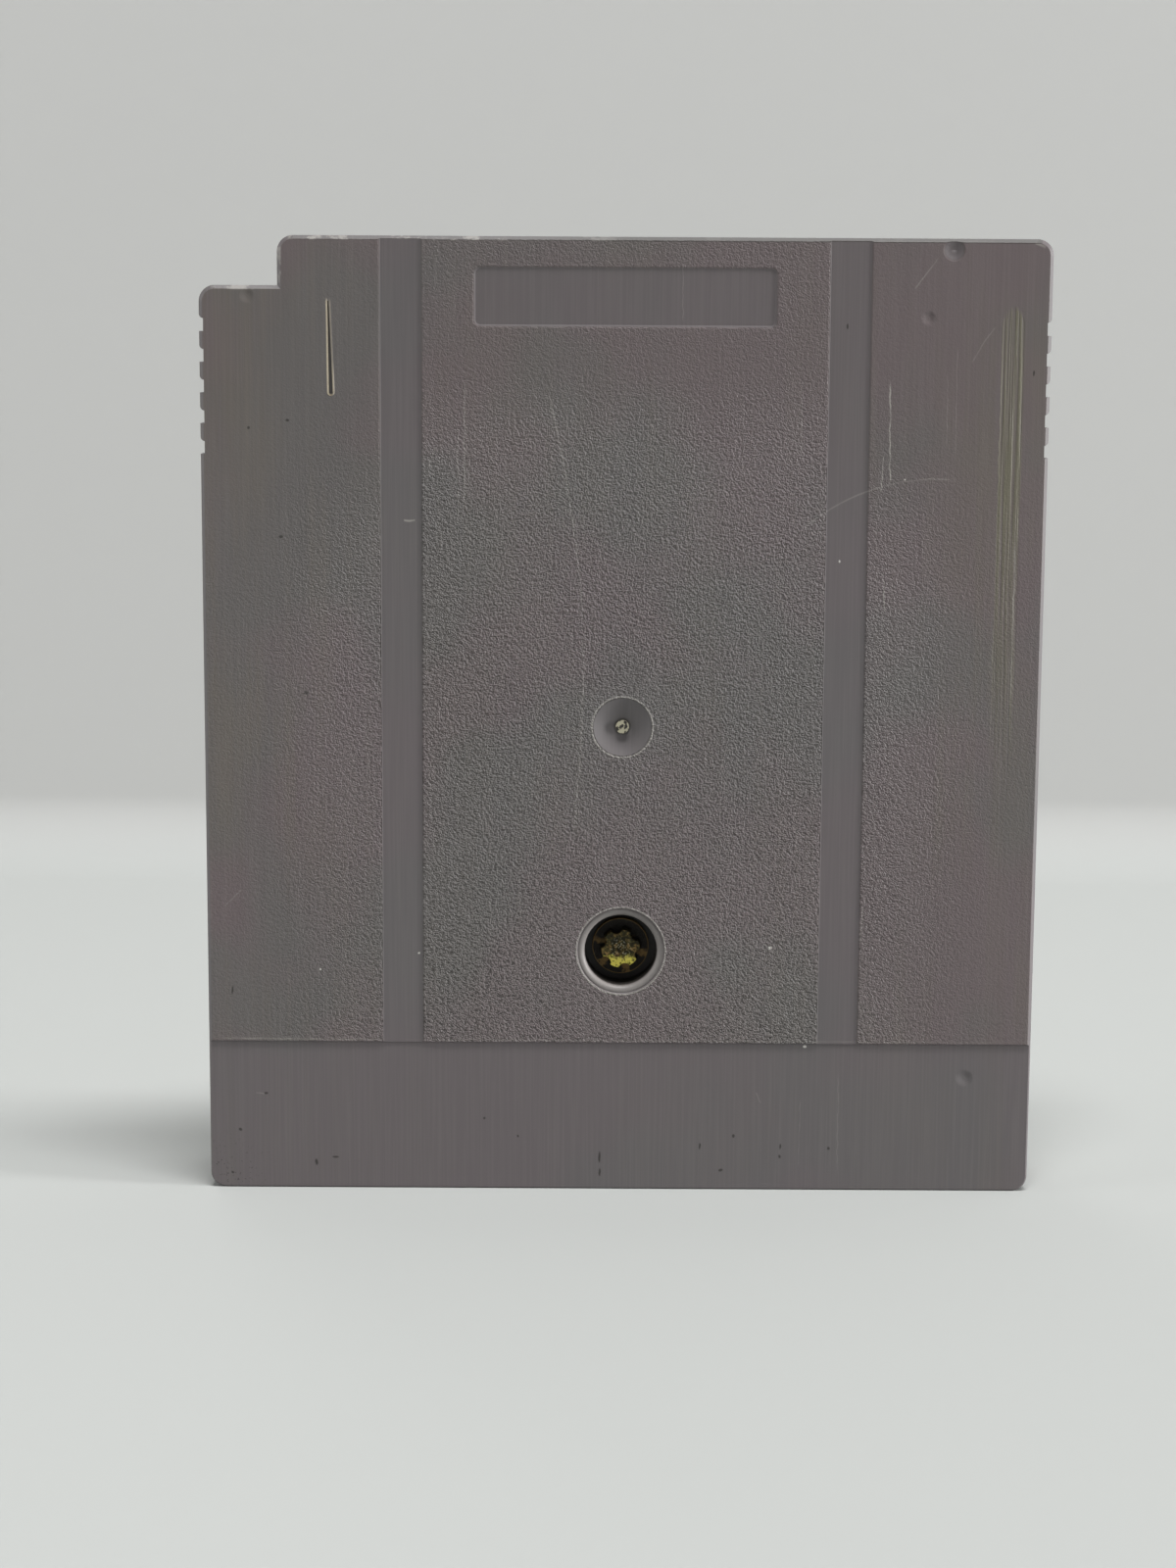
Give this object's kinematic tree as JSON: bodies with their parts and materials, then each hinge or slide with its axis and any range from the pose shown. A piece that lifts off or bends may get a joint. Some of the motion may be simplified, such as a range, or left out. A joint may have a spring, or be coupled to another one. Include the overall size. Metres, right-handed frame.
{
  "type": "game cartridge",
  "caption": "Flat moulded cartridge with a cut-away corner, finger grips and an open edge-connector mouth; holds a memory board that plugs into a handheld game player.",
  "frame": {"origin": "middle of the mouth edge that the cartridge stands on, centred on width and thickness", "axes": "+Z from the mouth up to the top edge, -Y out of the back shell's face, +Y out of the label side, -X towards the cut-away corner"},
  "size_m": [0.057, 0.0078, 0.0655],
  "materials": {
    "shell_plastic": "warm grey moulded plastic, fine spark grain on the panels, smooth stripes and band",
    "screw_plating": "steel with yellow zinc plating",
    "board_laminate": "green lacquered glass laminate",
    "contact_gold": "gold flash on copper",
    "chip_resin": "black moulding resin",
    "tinned_metal": "tinned",
    "cell_steel": "nickel-plated steel",
    "capacitor_ceramic": "tan ceramic",
    "resistor_ceramic": "black glazed ceramic"
  },
  "bodies": {
    "root": {"back_shell": "shell_plastic", "front_shell": "shell_plastic", "case_screw": "screw_plating", "circuit_board": "board_laminate", "edge_contacts": "contact_gold", "memory_chip": "chip_resin", "memory_chip_leads": "tinned_metal", "bank_controller": "chip_resin", "bank_controller_leads": "tinned_metal", "reset_chip": "chip_resin", "reset_chip_leads": "tinned_metal", "backup_cell": "cell_steel", "cell_plus_tab": "cell_steel", "cell_minus_tab": "cell_steel", "capacitors": "capacitor_ceramic", "capacitor_terminals": "tinned_metal", "resistors": "resistor_ceramic", "resistor_terminals": "tinned_metal"}
  },
  "joints": []
}
